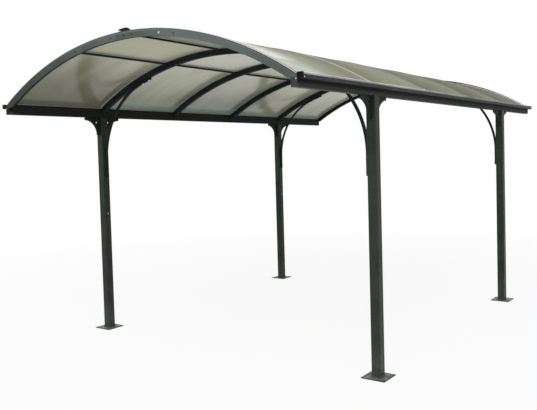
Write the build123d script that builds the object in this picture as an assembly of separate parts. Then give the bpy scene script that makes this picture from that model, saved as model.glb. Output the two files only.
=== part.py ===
"""Free-standing carport with an arched roof of translucent panels on four posts.

The frame is right-handed: +X to the right seen from the front, +Y from front to rear, +Z up.
The origin is on the ground, at the middle of the roof's plan. All lengths are millimetres.
"""
import os
from math import asin, atan2, cos, degrees, radians, sin, sqrt

from build123d import *

# Overall sizes
ROOF_LENGTH = 5000.0
POST_SPACING_ACROSS = 2912.0
POST_SPACING_ALONG = 2970.0
EAVE_HEIGHT = 2045.0
ARCH_RISE = 430.0
RIB_COUNT = 4

# Clearance between curved faces that seat on each other, and overrun of cutting tools
SEAT_CLEARANCE = 0.2
CUT_OVERRUN = 50.0

# Posts and their base plates
POST_SIZE = 75.0
POST_WALL = 2.5
POST_CORNER_RADIUS = 9.0
PLATE_SIZE = 190.0
PLATE_THICKNESS = 6.0
PLATE_HOLE_SPACING = 140.0
PLATE_HOLE_DIAMETER = 12.0

# Eave beams, whose tops slope with the roof, and the blocks at their ends
BEAM_WIDTH = 48.0
BEAM_OUTER_HEIGHT = 64.0
BEAM_WALL = 2.5
BEAM_BLOCK_HEIGHT = 58.0
PANEL_LIFT_AT_EAVE = 2.0

# Rain gutters outside the eave beams
GUTTER_WIDTH = 42.0
GUTTER_HEIGHT = 37.0
GUTTER_WALL = 2.0
GUTTER_LIP = 7.0
GUTTER_FLOOR_BELOW_BEAM_TOP = 14.0
GUTTER_CAP_LAP = 3.0
GUTTER_CAP_PROUD = 6.0

# Arched ribs
RIB_DEPTH = 50.0
RIB_WIDTH = 40.0

# Front and rear arches, bent a little tighter than the ribs, and the rails behind them
EDGE_RISE = 441.0
EDGE_FOOT_ABOVE_BEAM = 15.0
EDGE_DEPTH = 56.0
EDGE_WIDTH = 12.0
EDGE_LEDGE_SETBACK = 3.0
EDGE_LEDGE_BELOW_TOP = 10.0
RAIL_WIDTH = 21.0

# Moulded caps on the crowns of the end arches, with a raised tail, a hump and a low nose
RIDGE_CAP_TAIL = 56.0
RIDGE_CAP_TAIL_FOOT = 30.0
RIDGE_CAP_TAIL_UNDERSIDE = 7.0
RIDGE_CAP_TAIL_HEIGHT = 14.0
RIDGE_CAP_HUMP_START = 4.0
RIDGE_CAP_HUMP_END = 24.0
RIDGE_CAP_HEIGHT = 20.0
RIDGE_CAP_NOSE = 63.0
RIDGE_CAP_NOSE_HEIGHT = 2.5
RIDGE_CAP_DEPTH = 20.0

# Roof panels and the bars that hold them down
PANEL_THICKNESS = 6.0
PANEL_DRIP = 8.0
PANEL_EDGE_GAP = 0.5
PANEL_JOINT = 8.0
BAR_WIDTH = 24.0
BAR_THICKNESS = 4.0
BAR_DRIP = 4.0

# Purlins under the panels, placed by their angle along the arch; the ridge one clears the arches' crown joint
PURLIN_WIDTH = 16.0
PURLIN_DEPTH = 20.0
PURLIN_ANGLE_SHARES = (-0.355, 0.054, 0.355)

# Curved braces from the posts to the ribs above them
BRACE_SIZE = 20.0
BRACE_BEND_RADIUS = 730.0
BRACE_POST_LEG = 160.0
BRACE_RIB_LEG = 168.0

# Gussets between the posts and the eave beams
GUSSET_LEG = 165.0
GUSSET_TIP = 25.0
GUSSET_THICKNESS = 20.0
GUSSET_HOLE_DIAMETER = 24.0
GUSSET_HOLE_OUT = 34.0
GUSSET_HOLE_DOWN = 45.0

# Derived heights and radii
BEAM_TOP = EAVE_HEIGHT + BEAM_OUTER_HEIGHT
BEAM_OUTER_X = POST_SPACING_ACROSS / 2 + BEAM_WIDTH / 2
BEAM_INNER_X = BEAM_OUTER_X - BEAM_WIDTH
PANEL_RADIUS = (BEAM_OUTER_X**2 + ARCH_RISE**2) / (2 * ARCH_RISE)
ARCH_CENTRE_Z = BEAM_TOP + PANEL_LIFT_AT_EAVE + ARCH_RISE - PANEL_RADIUS
PANEL_OUTER_RADIUS = PANEL_RADIUS + PANEL_THICKNESS
RIB_TOP_RADIUS = PANEL_RADIUS - SEAT_CLEARANCE
RIB_UNDER_RADIUS = RIB_TOP_RADIUS - RIB_DEPTH
BAR_SEAT_RADIUS = PANEL_OUTER_RADIUS + SEAT_CLEARANCE
BAR_TOP_RADIUS = BAR_SEAT_RADIUS + BAR_THICKNESS
BEAM_INNER_TOP = ARCH_CENTRE_Z + sqrt(PANEL_RADIUS**2 - BEAM_INNER_X**2) - PANEL_LIFT_AT_EAVE
EDGE_RADIUS = (BEAM_OUTER_X**2 + EDGE_RISE**2) / (2 * EDGE_RISE)
EDGE_CENTRE_Z = BEAM_TOP + EDGE_FOOT_ABOVE_BEAM + EDGE_RISE - EDGE_RADIUS
EDGE_TOP_Z = EDGE_CENTRE_Z + EDGE_RADIUS
BLOCK_TOP = EAVE_HEIGHT + BEAM_BLOCK_HEIGHT
HALF_LENGTH = ROOF_LENGTH / 2
EDGE_TOTAL_WIDTH = EDGE_WIDTH + RAIL_WIDTH
POST_INNER_X = POST_SPACING_ACROSS / 2 - POST_SIZE / 2
RIB_PITCH = POST_SPACING_ALONG / (RIB_COUNT - 1)
RIB_PLACES = [RIB_PITCH * (i - (RIB_COUNT - 1) / 2) for i in range(RIB_COUNT)]
SIDES = (("left", -1), ("right", 1))
ENDS = (("front", -1), ("rear", 1))


def box_between(low, high):
    """A box from its lowest to its highest corner."""
    size = [b - a for a, b in zip(low, high)]
    return Pos(*low) * Box(*size, align=(Align.MIN, Align.MIN, Align.MIN))


def half_angle(radius, half_width):
    """The angle from the crown, in degrees, at which an arc is half_width from the middle."""
    return degrees(asin(half_width / radius))


def turned_band(section_points, half_turn, centre_z):
    """Turns a section, given as (y, radius) points, about a level axis to both sides of the crown."""
    axis = Axis((0, 0, centre_z), (0, 1, 0))
    section = make_face(Polyline([(0, y, centre_z + r) for y, r in section_points], close=True))
    return revolve(section.rotate(axis, -half_turn), axis, 2 * half_turn)


def ring_points(y_low, y_high, r_low, r_high):
    """The corners of a rectangular section."""
    return [(y_low, r_low), (y_low, r_high), (y_high, r_high), (y_high, r_low)]


def cut_feet(band, reach, low_z):
    """Cuts a band's feet plumb at the given reach to both sides, and level at the given height."""
    long_way = HALF_LENGTH + CUT_OVERRUN
    return band & box_between((-reach, -long_way, low_z), (reach, long_way, EDGE_TOP_Z + CUT_OVERRUN))


def foot_turn(radius):
    """A half turn that takes a band past the outer faces of the beams."""
    return half_angle(radius, BEAM_OUTER_X + CUT_OVERRUN)


def post(side, end):
    """A square tube with rounded corners, between its base plate and the underside of the beam."""
    bore_size = POST_SIZE - 2 * POST_WALL
    bore = RectangleRounded(bore_size, bore_size, POST_CORNER_RADIUS - POST_WALL)
    outline = RectangleRounded(POST_SIZE, POST_SIZE, POST_CORNER_RADIUS) - bore
    tube = extrude(outline, EAVE_HEIGHT - PLATE_THICKNESS)
    return Pos(side * POST_SPACING_ACROSS / 2, end * POST_SPACING_ALONG / 2, PLATE_THICKNESS) * tube


def base_plate(side, end):
    """A square plate with one anchor hole near each corner."""
    holes = GridLocations(PLATE_HOLE_SPACING, PLATE_HOLE_SPACING, 2, 2) * Circle(PLATE_HOLE_DIAMETER / 2)
    plate = extrude(Rectangle(PLATE_SIZE, PLATE_SIZE) - holes, PLATE_THICKNESS)
    return Pos(side * POST_SPACING_ACROSS / 2, end * POST_SPACING_ALONG / 2, 0) * plate


def along_roof(points, y_low, y_high):
    """Extrudes an (x, z) outline from y_low to y_high."""
    face = make_face(Polyline([(x, y_low, z) for x, z in points], close=True))
    return extrude(face, y_high - y_low, dir=(0, 1, 0))


def to_side(shape, side):
    """A right-hand shape, mirrored for the left."""
    return shape if side > 0 else mirror(shape, about=Plane.YZ)


def eave_beam(side):
    """A tube with a sloping top that runs the length of the roof, between its end blocks."""
    slope = (BEAM_INNER_TOP - BEAM_TOP) / BEAM_WIDTH
    top_wall = BEAM_WALL * sqrt(1 + slope**2)
    bore_inner_x = BEAM_INNER_X + BEAM_WALL
    bore_outer_x = BEAM_OUTER_X - BEAM_WALL
    floor = EAVE_HEIGHT + BEAM_WALL
    outline = [
        (BEAM_INNER_X, EAVE_HEIGHT),
        (BEAM_OUTER_X, EAVE_HEIGHT),
        (BEAM_OUTER_X, BEAM_TOP),
        (BEAM_INNER_X, BEAM_INNER_TOP),
    ]
    bore = [
        (bore_inner_x, floor),
        (bore_outer_x, floor),
        (bore_outer_x, BEAM_TOP + slope * BEAM_WALL - top_wall),
        (bore_inner_x, BEAM_INNER_TOP - slope * BEAM_WALL - top_wall),
    ]
    reach = HALF_LENGTH - EDGE_TOTAL_WIDTH
    return to_side(along_roof(outline, -reach, reach) - along_roof(bore, -reach, reach), side)


def beam_end_blocks(side):
    """The blocks at both ends of a beam, on which the feet of the end arches stand."""
    blocks = []
    for _, end in ENDS:
        y_face = end * HALF_LENGTH
        y_beam = end * (HALF_LENGTH - EDGE_TOTAL_WIDTH)
        low = (BEAM_INNER_X, min(y_face, y_beam), EAVE_HEIGHT)
        high = (BEAM_OUTER_X, max(y_face, y_beam), BLOCK_TOP)
        blocks.append(to_side(box_between(low, high), side))
    return Compound(children=blocks)


def gutter_outline():
    """The right gutter's section as (x, z) points: a trough with an inward lip on its outer wall."""
    inner = BEAM_OUTER_X
    outer = inner + GUTTER_WIDTH
    floor = BEAM_TOP - GUTTER_FLOOR_BELOW_BEAM_TOP
    top = floor + GUTTER_HEIGHT
    return [
        (inner, floor),
        (outer, floor),
        (outer, top),
        (outer - GUTTER_LIP, top),
        (outer - GUTTER_LIP, top - GUTTER_WALL),
        (outer - GUTTER_WALL, top - GUTTER_WALL),
        (outer - GUTTER_WALL, floor + GUTTER_WALL),
        (inner + GUTTER_WALL, floor + GUTTER_WALL),
        (inner + GUTTER_WALL, BEAM_TOP),
        (inner, BEAM_TOP),
    ]


def gutter(side):
    """A gutter between its end caps."""
    reach = HALF_LENGTH - GUTTER_CAP_LAP
    return to_side(along_roof(gutter_outline(), -reach, reach), side)


def gutter_end_caps(side):
    """The moulded caps at both ends of a gutter."""
    floor = BEAM_TOP - GUTTER_FLOOR_BELOW_BEAM_TOP
    low_x = BEAM_OUTER_X
    high_x = BEAM_OUTER_X + GUTTER_WIDTH
    top = floor + GUTTER_HEIGHT
    caps = []
    for _, end in ENDS:
        y_near = end * (HALF_LENGTH + GUTTER_CAP_PROUD)
        y_far = end * (HALF_LENGTH - GUTTER_CAP_LAP)
        low = (low_x, min(y_near, y_far), floor)
        high = (high_x, max(y_near, y_far), top)
        caps.append(to_side(box_between(low, high), side))
    return Compound(children=caps)


def rib(place):
    """An arched bar whose feet butt against the inner faces of both beams."""
    section = ring_points(place - RIB_WIDTH / 2, place + RIB_WIDTH / 2, RIB_UNDER_RADIUS, RIB_TOP_RADIUS)
    band = turned_band(section, foot_turn(RIB_UNDER_RADIUS), ARCH_CENTRE_Z)
    return cut_feet(band, BEAM_INNER_X, EAVE_HEIGHT)


def edge_arch(end):
    """The front or rear arch, with a ledge along the top of its face; it stands on the end blocks."""
    face = end * HALF_LENGTH
    back = face - end * EDGE_WIDTH
    step = face - end * EDGE_LEDGE_SETBACK
    low = EDGE_RADIUS - EDGE_DEPTH
    ledge = EDGE_RADIUS - EDGE_LEDGE_BELOW_TOP
    top = EDGE_RADIUS
    outline = [(face, low), (face, ledge), (step, ledge), (step, top), (back, top), (back, low)]
    band = turned_band(outline, foot_turn(low), EDGE_CENTRE_Z)
    return cut_feet(band, BEAM_OUTER_X, BLOCK_TOP)


def ridge_cap(end):
    """A moulded cap that straddles the joint at the crown of an end arch, seated on the arch's top."""
    foot = EDGE_TOP_Z - RIDGE_CAP_HEIGHT
    outline = [
        (-RIDGE_CAP_TAIL_FOOT, foot),
        (-RIDGE_CAP_TAIL_FOOT, EDGE_TOP_Z),
        (-RIDGE_CAP_TAIL, EDGE_TOP_Z + RIDGE_CAP_TAIL_UNDERSIDE),
        (-RIDGE_CAP_TAIL, EDGE_TOP_Z + RIDGE_CAP_TAIL_HEIGHT),
        (RIDGE_CAP_HUMP_START, EDGE_TOP_Z + RIDGE_CAP_HEIGHT),
        (RIDGE_CAP_HUMP_END, EDGE_TOP_Z + RIDGE_CAP_HEIGHT),
        (RIDGE_CAP_NOSE, EDGE_TOP_Z + RIDGE_CAP_NOSE_HEIGHT),
        (RIDGE_CAP_NOSE, foot),
    ]
    y_face = end * HALF_LENGTH
    y_back = end * (HALF_LENGTH - RIDGE_CAP_DEPTH)
    y_low = min(y_face, y_back)
    y_high = max(y_face, y_back)
    block = along_roof([(-end * x, z) for x, z in outline], y_low, y_high)
    low = EDGE_RADIUS - EDGE_DEPTH
    seat = EDGE_RADIUS + SEAT_CLEARANCE
    section = ring_points(y_low - CUT_OVERRUN, y_high + CUT_OVERRUN, low, seat)
    return block - turned_band(section, half_angle(low, RIDGE_CAP_NOSE + CUT_OVERRUN), EDGE_CENTRE_Z)


def edge_rail(end):
    """The rail behind an end arch, as deep as the arch, which carries the outermost panel."""
    y_arch = end * (HALF_LENGTH - EDGE_WIDTH)
    y_beam = end * (HALF_LENGTH - EDGE_TOTAL_WIDTH)
    low = EDGE_RADIUS - EDGE_DEPTH
    below = RIB_TOP_RADIUS - EDGE_DEPTH - CUT_OVERRUN
    section = ring_points(min(y_arch, y_beam), max(y_arch, y_beam), below, RIB_TOP_RADIUS)
    band = turned_band(section, foot_turn(below), ARCH_CENTRE_Z)
    hollow = Pos(0, 0, EDGE_CENTRE_Z) * Rot(90, 0, 0) * Cylinder(low, ROOF_LENGTH + CUT_OVERRUN)
    return cut_feet(band - hollow, BEAM_OUTER_X, BLOCK_TOP)


def panel_edges():
    """The places along Y where one panel ends and the next begins, as (low, high) of each panel."""
    first = -HALF_LENGTH + EDGE_WIDTH + PANEL_EDGE_GAP
    half_joint = PANEL_JOINT / 2
    lows = [first] + [place + half_joint for place in RIB_PLACES]
    highs = [place - half_joint for place in RIB_PLACES] + [-first]
    return list(zip(lows, highs))


def roof_panel(y_low, y_high):
    """One curved sheet from gutter to gutter."""
    section = ring_points(y_low, y_high, PANEL_RADIUS, PANEL_OUTER_RADIUS)
    return turned_band(section, half_angle(PANEL_RADIUS, BEAM_OUTER_X + PANEL_DRIP), ARCH_CENTRE_Z)


def glazing_bar(place):
    """A flat bar over the joint of two panels."""
    section = ring_points(place - BAR_WIDTH / 2, place + BAR_WIDTH / 2, BAR_SEAT_RADIUS, BAR_TOP_RADIUS)
    return turned_band(section, half_angle(PANEL_RADIUS, BEAM_OUTER_X + BAR_DRIP), ARCH_CENTRE_Z)


def purlin(angle_share):
    """One line of battens under the panels, a batten in each bay."""
    turn = angle_share * half_angle(PANEL_RADIUS, BEAM_OUTER_X)
    first = -HALF_LENGTH + EDGE_TOTAL_WIDTH
    lows = [first] + [place + RIB_WIDTH / 2 for place in RIB_PLACES]
    highs = [place - RIB_WIDTH / 2 for place in RIB_PLACES] + [-first]
    top = ARCH_CENTRE_Z + RIB_TOP_RADIUS
    axis = Axis((0, 0, ARCH_CENTRE_Z), (0, 1, 0))
    battens = []
    for y_low, y_high in zip(lows, highs):
        batten = box_between((-PURLIN_WIDTH / 2, y_low, top - PURLIN_DEPTH), (PURLIN_WIDTH / 2, y_high, top))
        battens.append(batten.rotate(axis, turn))
    return Compound(children=battens)


def brace(side, end):
    """A bent bar: upright on the post, then round a bend and along the underside of the rib."""
    outer_bend = BRACE_BEND_RADIUS + BRACE_SIZE / 2
    bend_x = POST_INNER_X - outer_bend
    bend_rise = sqrt((RIB_UNDER_RADIUS - outer_bend) ** 2 - bend_x**2)
    bend_z = ARCH_CENTRE_Z + bend_rise
    meet = atan2(bend_x, bend_rise)
    tip = meet - BRACE_RIB_LEG / RIB_UNDER_RADIUS
    right_angle = radians(90)

    def on_bend(radius, angle):
        return (bend_x + radius * sin(angle), 0, bend_z + radius * cos(angle))

    def on_rib(radius, angle):
        return (radius * sin(angle), 0, ARCH_CENTRE_Z + radius * cos(angle))

    inner_bend = outer_bend - BRACE_SIZE
    inner_rib = RIB_UNDER_RADIUS - BRACE_SIZE
    low_z = bend_z - BRACE_POST_LEG
    mid_bend = (meet + right_angle) / 2
    mid_rib = (meet + tip) / 2
    outline = [
        Line((POST_INNER_X, 0, low_z), on_bend(outer_bend, right_angle)),
        ThreePointArc(
            on_bend(outer_bend, right_angle), on_bend(outer_bend, mid_bend), on_bend(outer_bend, meet)
        ),
        ThreePointArc(
            on_rib(RIB_UNDER_RADIUS, meet), on_rib(RIB_UNDER_RADIUS, mid_rib), on_rib(RIB_UNDER_RADIUS, tip)
        ),
        Line(on_rib(RIB_UNDER_RADIUS, tip), on_rib(inner_rib, tip)),
        ThreePointArc(on_rib(inner_rib, tip), on_rib(inner_rib, mid_rib), on_rib(inner_rib, meet)),
        ThreePointArc(
            on_bend(inner_bend, meet), on_bend(inner_bend, mid_bend), on_bend(inner_bend, right_angle)
        ),
        Line(on_bend(inner_bend, right_angle), (POST_INNER_X - BRACE_SIZE, 0, low_z)),
        Line((POST_INNER_X - BRACE_SIZE, 0, low_z), (POST_INNER_X, 0, low_z)),
    ]
    bar = extrude(make_face(outline), BRACE_SIZE / 2, dir=(0, 1, 0), both=True)
    return to_side(Pos(0, end * POST_SPACING_ALONG / 2, 0) * bar, side)


def gusset(side, end, facing):
    """A bracket with a concave edge, in the corner between a post and the beam that it carries."""
    face_y = end * POST_SPACING_ALONG / 2 + facing * POST_SIZE / 2
    x = side * POST_SPACING_ACROSS / 2

    def at(out, down):
        return (x, face_y + facing * out, EAVE_HEIGHT - down)

    sweep = GUSSET_LEG - GUSSET_TIP
    middle = GUSSET_LEG - sweep * sin(radians(45))
    outline = [
        Polyline([at(GUSSET_TIP, GUSSET_LEG), at(0, GUSSET_LEG), at(0, 0), at(GUSSET_LEG, 0),
                  at(GUSSET_LEG, GUSSET_TIP)]),
        ThreePointArc(at(GUSSET_LEG, GUSSET_TIP), at(middle, middle), at(GUSSET_TIP, GUSSET_LEG)),
    ]
    plate = extrude(make_face(outline), GUSSET_THICKNESS / 2, dir=(1, 0, 0), both=True)
    hole = Rot(0, 90, 0) * Cylinder(GUSSET_HOLE_DIAMETER / 2, GUSSET_THICKNESS + CUT_OVERRUN)
    return plate - Pos(*at(GUSSET_HOLE_OUT, GUSSET_HOLE_DOWN)) * hole


def gussets(side, end):
    """The two gussets of one post, in front of it and behind it."""
    return Compound(children=[gusset(side, end, facing) for _, facing in ENDS])


def build_nodes():
    """All pieces by name."""
    nodes = {}
    for side_name, side in SIDES:
        nodes[f"eave_beam_{side_name}"] = eave_beam(side)
        nodes[f"beam_end_blocks_{side_name}"] = beam_end_blocks(side)
        nodes[f"gutter_{side_name}"] = gutter(side)
        nodes[f"gutter_end_caps_{side_name}"] = gutter_end_caps(side)
        for end_name, end in ENDS:
            corner = f"{end_name}_{side_name}"
            nodes[f"post_{corner}"] = post(side, end)
            nodes[f"base_plate_{corner}"] = base_plate(side, end)
            nodes[f"brace_{corner}"] = brace(side, end)
            nodes[f"gussets_{corner}"] = gussets(side, end)
    for end_name, end in ENDS:
        nodes[f"{end_name}_arch"] = edge_arch(end)
        nodes[f"{end_name}_edge_rail"] = edge_rail(end)
    nodes["ridge_caps"] = Compound(children=[ridge_cap(end) for _, end in ENDS])
    for number, place in enumerate(RIB_PLACES, start=1):
        nodes[f"rib_{number}"] = rib(place)
        nodes[f"glazing_bar_{number}"] = glazing_bar(place)
    for number, (y_low, y_high) in enumerate(panel_edges(), start=1):
        nodes[f"roof_panel_{number}"] = roof_panel(y_low, y_high)
    for name, angle_share in zip(("left", "ridge", "right"), PURLIN_ANGLE_SHARES):
        nodes[f"purlin_{name}"] = purlin(angle_share)
    return nodes


os.makedirs("parts", exist_ok=True)
for name, shape in build_nodes().items():
    export_step(shape, f"parts/{name}.step")
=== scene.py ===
"""Looks of an arched carport: finishes, fasteners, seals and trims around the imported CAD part.

Lengths are metres in the CAD frame: +X to the right seen from the front, +Y to the rear, +Z up.
Colours are linear RGB.
"""
from math import asin, cos, pi, radians, sin, sqrt

import bmesh
import bpy
from mathutils import Matrix, Vector


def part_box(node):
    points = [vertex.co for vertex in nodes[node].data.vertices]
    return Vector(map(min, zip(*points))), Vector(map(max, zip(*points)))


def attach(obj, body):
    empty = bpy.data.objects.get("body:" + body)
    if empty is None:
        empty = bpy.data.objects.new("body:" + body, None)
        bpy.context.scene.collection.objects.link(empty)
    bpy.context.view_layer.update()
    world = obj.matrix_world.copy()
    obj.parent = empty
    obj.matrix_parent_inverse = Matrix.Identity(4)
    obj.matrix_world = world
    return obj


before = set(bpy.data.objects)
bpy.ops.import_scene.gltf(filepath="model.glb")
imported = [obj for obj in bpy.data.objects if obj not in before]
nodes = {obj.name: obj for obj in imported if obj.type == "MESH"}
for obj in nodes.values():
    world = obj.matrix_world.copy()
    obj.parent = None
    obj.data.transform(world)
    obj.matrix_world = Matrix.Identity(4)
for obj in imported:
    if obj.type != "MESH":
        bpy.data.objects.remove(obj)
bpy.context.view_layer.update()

# Ends, sides and corners of the carport, with their signs along Y and X
SIDES = (-1, 1)
NAMED_SIDES = (("left", -1), ("right", 1))
NAMED_ENDS = (("front", -1), ("rear", 1))
CORNERS = [(f"{end_name}_{side_name}", end, side)
           for end_name, end in NAMED_ENDS for side_name, side in NAMED_SIDES]

# Sizes read from the frame
BEAM_LOW, BEAM_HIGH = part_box("eave_beam_right")
BEAM_INNER_X = BEAM_LOW.x
BEAM_OUTER_X = BEAM_HIGH.x
BEAM_INNER_TOP = BEAM_HIGH.z
EAVE_Z = BEAM_LOW.z
POST_LOW, POST_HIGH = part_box("post_front_right")
POST_X = (POST_LOW.x + POST_HIGH.x) / 2
POST_Y = -(POST_LOW.y + POST_HIGH.y) / 2
POST_SIZE = POST_HIGH.x - POST_LOW.x
PLATE_TOP = POST_LOW.z
ARCH_LOW, ARCH_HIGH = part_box("front_arch")
ARCH_FACE_Y = -ARCH_LOW.y
ARCH_BACK_Y = -ARCH_HIGH.y
EDGE_CROWN_Z = ARCH_HIGH.z
RAIL_BACK_Y = -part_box("front_edge_rail")[1].y
PANEL_BOXES = [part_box(f"roof_panel_{i}") for i in range(1, 6)]
SHEET_CROWN_Z = PANEL_BOXES[0][1].z
RIB_BOXES = [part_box(f"rib_{i}") for i in range(1, 5)]
RIB_PLACES = [(low.y + high.y) / 2 for low, high in RIB_BOXES]
RIB_HALF = (RIB_BOXES[0][1].y - RIB_BOXES[0][0].y) / 2
RIB_CROWN_Z = RIB_BOXES[0][1].z
BAR_CROWN_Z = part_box("glazing_bar_1")[1].z
RIDGE_CAP_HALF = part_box("ridge_caps")[1].x
GUTTER_LOW, GUTTER_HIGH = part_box("gutter_right")
BRACE_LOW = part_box("brace_front_right")[0]
GUSSET_LOW, GUSSET_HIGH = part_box("gussets_front_right")
GUSSET_LEG = EAVE_Z - GUSSET_LOW.z
GUSSET_HALF = (GUSSET_HIGH.x - GUSSET_LOW.x) / 2

# Arcs of the roof: inner radius of the sheets, outer radius of the end arches, and what follows from them
SHEET_THICKNESS = 0.006
SHEET_RADIUS = 2.76198
SHEET_CENTRE_Z = SHEET_CROWN_Z - SHEET_THICKNESS - SHEET_RADIUS
RIB_DEPTH = 0.050
RIB_TOP_RADIUS = RIB_CROWN_Z - SHEET_CENTRE_Z
RIB_UNDER_RADIUS = RIB_TOP_RADIUS - RIB_DEPTH
BAR_TOP_RADIUS = BAR_CROWN_Z - SHEET_CENTRE_Z
EDGE_RADIUS = 2.70393
EDGE_CENTRE_Z = EDGE_CROWN_Z - EDGE_RADIUS
PURLIN_NAMES = ("left", "ridge", "right")
PURLIN_HALF_DEPTH = 0.010
PURLIN_MIDDLES = [sum(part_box(f"purlin_{name}")[i].x for i in (0, 1)) / 2 for name in PURLIN_NAMES]
PURLIN_ANGLES = [asin(x / (RIB_TOP_RADIUS - PURLIN_HALF_DEPTH)) for x in PURLIN_MIDDLES]
ARC_STEPS = 72

# Camera at the photograph's place
IMAGE_WIDTH = 537
CAMERA_PLACE = (3.6976, -5.8928, 1.6449)
CAMERA_TURN = (87.471, 1.613, 35.714)
FOCAL_PIXELS = 677.35
SENSOR_WIDTH = 36.0
CAMERA_SHIFT = (-0.0012, -0.0381)

# Light and floor
AMBIENT = 0.55
KEY_PLACE, KEY_SIZE, KEY_WATTS = (5.0, -9.0, 9.0), 7.0, 640.0
FILL_PLACE, FILL_SIZE, FILL_WATTS = (-8.0, -7.0, 6.0), 6.0, 120.0
LAMP_AIM = (0, 0, 1.4)
WHITE = (1.0, 1.0, 1.0, 1.0)
FLOOR_COLOUR = (0.86, 0.86, 0.86, 1.0)
FLOOR_RADIUS, FLOOR_SEGMENTS = 60.0, 96
FLOOR_FADE_START, FLOOR_FADE_END = 3.0, 9.0
FLOOR_WHITE_NEAR, FLOOR_WHITE_FAR = 0.9, 1.0


# Node helpers

def node(tree, kind, **sockets):
    """A shader node with its inputs set by name, or linked where an output socket is given."""
    made = tree.nodes.new(kind)
    for name, value in sockets.items():
        put(tree, made.inputs[name.replace("_", " ")], value)
    return made


def put(tree, socket, value):
    """Links an output socket to an input, or sets the input's value."""
    if isinstance(value, bpy.types.NodeSocket):
        tree.links.new(value, socket)
    else:
        socket.default_value = value


def calc(tree, operation, *values):
    """The output of a Math node."""
    made = tree.nodes.new("ShaderNodeMath")
    made.operation = operation
    for socket, value in zip(made.inputs, values):
        put(tree, socket, value)
    return made.outputs[0]


def times(tree, first, second):
    """The product of two values."""
    return calc(tree, "MULTIPLY", first, second)


def plus(tree, total, *values):
    """The sum of several values."""
    for value in values:
        total = calc(tree, "ADD", total, value)
    return total


def size_of(tree, value):
    """A value without its sign."""
    return calc(tree, "ABSOLUTE", value)


def ranged(tree, value, low, high, to_low=0.0, to_high=1.0):
    """A value mapped smoothly from one range to another, and held there."""
    made = tree.nodes.new("ShaderNodeMapRange")
    made.interpolation_type = "SMOOTHSTEP"
    for socket, number in zip(made.inputs, (value, low, high, to_low, to_high)):
        put(tree, socket, number)
    return made.outputs[0]


def band(tree, value, rise, fall, rest=0.0):
    """1 between a rise and a fall of a value, 0 before the rise and a rest after the fall."""
    return times(tree, ranged(tree, value, *rise), ranged(tree, value, *fall, 1.0, rest))


def mixed(tree, share, first, second):
    """A colour between two others."""
    made = tree.nodes.new("ShaderNodeMix")
    made.data_type = "RGBA"
    put(tree, made.inputs["Factor"], share)
    put(tree, made.inputs[6], first)
    put(tree, made.inputs[7], second)
    return made.outputs[2]


def noise(tree, place, scale, detail=4.0, roughness=0.55):
    """The value of a noise texture at a place."""
    made = node(tree, "ShaderNodeTexNoise", Vector=place, Scale=scale, Detail=detail, Roughness=roughness)
    return made.outputs["Fac"]


def streaks_of(tree, place, factors, detail=4.0):
    """Noise at a place scaled by a factor on each axis, which draws it out into streaks."""
    made = tree.nodes.new("ShaderNodeVectorMath")
    made.operation = "MULTIPLY"
    put(tree, made.inputs[0], place)
    put(tree, made.inputs[1], factors)
    return noise(tree, made.outputs[0], 1.0, detail)


def bump(tree, height, strength, distance):
    """A bumped normal."""
    made = node(tree, "ShaderNodeBump", Strength=strength, Distance=distance, Height=height)
    return made.outputs["Normal"]


def axes_of(tree, vector):
    """The X, Y and Z of a vector, by name."""
    return node(tree, "ShaderNodeSeparateXYZ", Vector=vector).outputs


def true_normal(tree):
    """The X, Y and Z of the face's own normal, by name."""
    return axes_of(tree, tree.nodes.new("ShaderNodeNewGeometry").outputs["True Normal"])


def rgba(colour):
    """A colour with full alpha."""
    return (*colour, 1.0)


def scaled(colour, factor):
    """A lighter or darker colour with full alpha."""
    return rgba([c * factor for c in colour])


def tinted(colour, factors):
    """A colour with each channel times its own factor, and full alpha."""
    return rgba([c * factor for c, factor in zip(colour, factors)])


def clouded(tree, place, scale, colour, dark, light):
    """A colour that drifts between a darker and a lighter tone of itself."""
    cloud = ranged(tree, noise(tree, place, scale), 0.35, 0.65)
    return mixed(tree, cloud, scaled(colour, dark), scaled(colour, light))


def material(name):
    """A new material with its tree, its shader and the outputs of its coordinates."""
    made = bpy.data.materials.new(name)
    made.use_nodes = True
    tree = made.node_tree
    coords = tree.nodes.new("ShaderNodeTexCoord").outputs
    return made, tree, tree.nodes["Principled BSDF"], coords


def join(tree, shader, tone, roughness, normal, **uniform):
    """Links a tone, a roughness and a normal to a shader, and sets its uniform numbers by name."""
    put(tree, shader.inputs["Base Color"], tone)
    put(tree, shader.inputs["Roughness"], roughness)
    put(tree, shader.inputs["Normal"], normal)
    for name, value in uniform.items():
        shader.inputs[name.replace("_", " ")].default_value = value


# Colours, and tints as a factor on each channel, that the finishes mix in
WARM_TINT = (1.35, 1.18, 0.95)
DUST, DUST_HEIGHT = (0.16, 0.15, 0.125), 0.34
# Painted light low on the beams' outer faces, under the painted shadow of the gutters
BEAM_PAINTED_LOW_LIGHT = (0.042, 0.043, 0.033)
# Painted shade on the end arches: the cap strip's right part, the face's left limb, and the right foot
ARCH_CAP_PAINTED_SHADE = (0.02, 0.025, 0.024)
ARCH_LEFT_PAINTED_SHADE = (0.34, 0.38, 0.32)
ARCH_FOOT_PAINTED_SHADE = (0.62, 0.64, 0.42)
# Painted light and shade on the sheets: a cool shade at the feet, a pale crown, and a pale sky sheen
SHEET_PAINTED_COOL_SHADE = (0.45, 0.6, 0.5)
SHEET_PAINTED_CROWN_LIGHT = (0.95, 0.94, 0.84)
SHEET_PAINTED_SKY_SHEEN = (0.77, 0.79, 0.73)
RIM_STUB = (0.004, 0.004, 0.004)
PLATE_DARK, PLATE_LIGHT = (0.112, 0.134, 0.12), (0.222, 0.252, 0.23)
PLATE_SPOTS, PLATE_BORDER = (0.42, 0.46, 0.46), (0.035, 0.04, 0.038)

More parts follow.
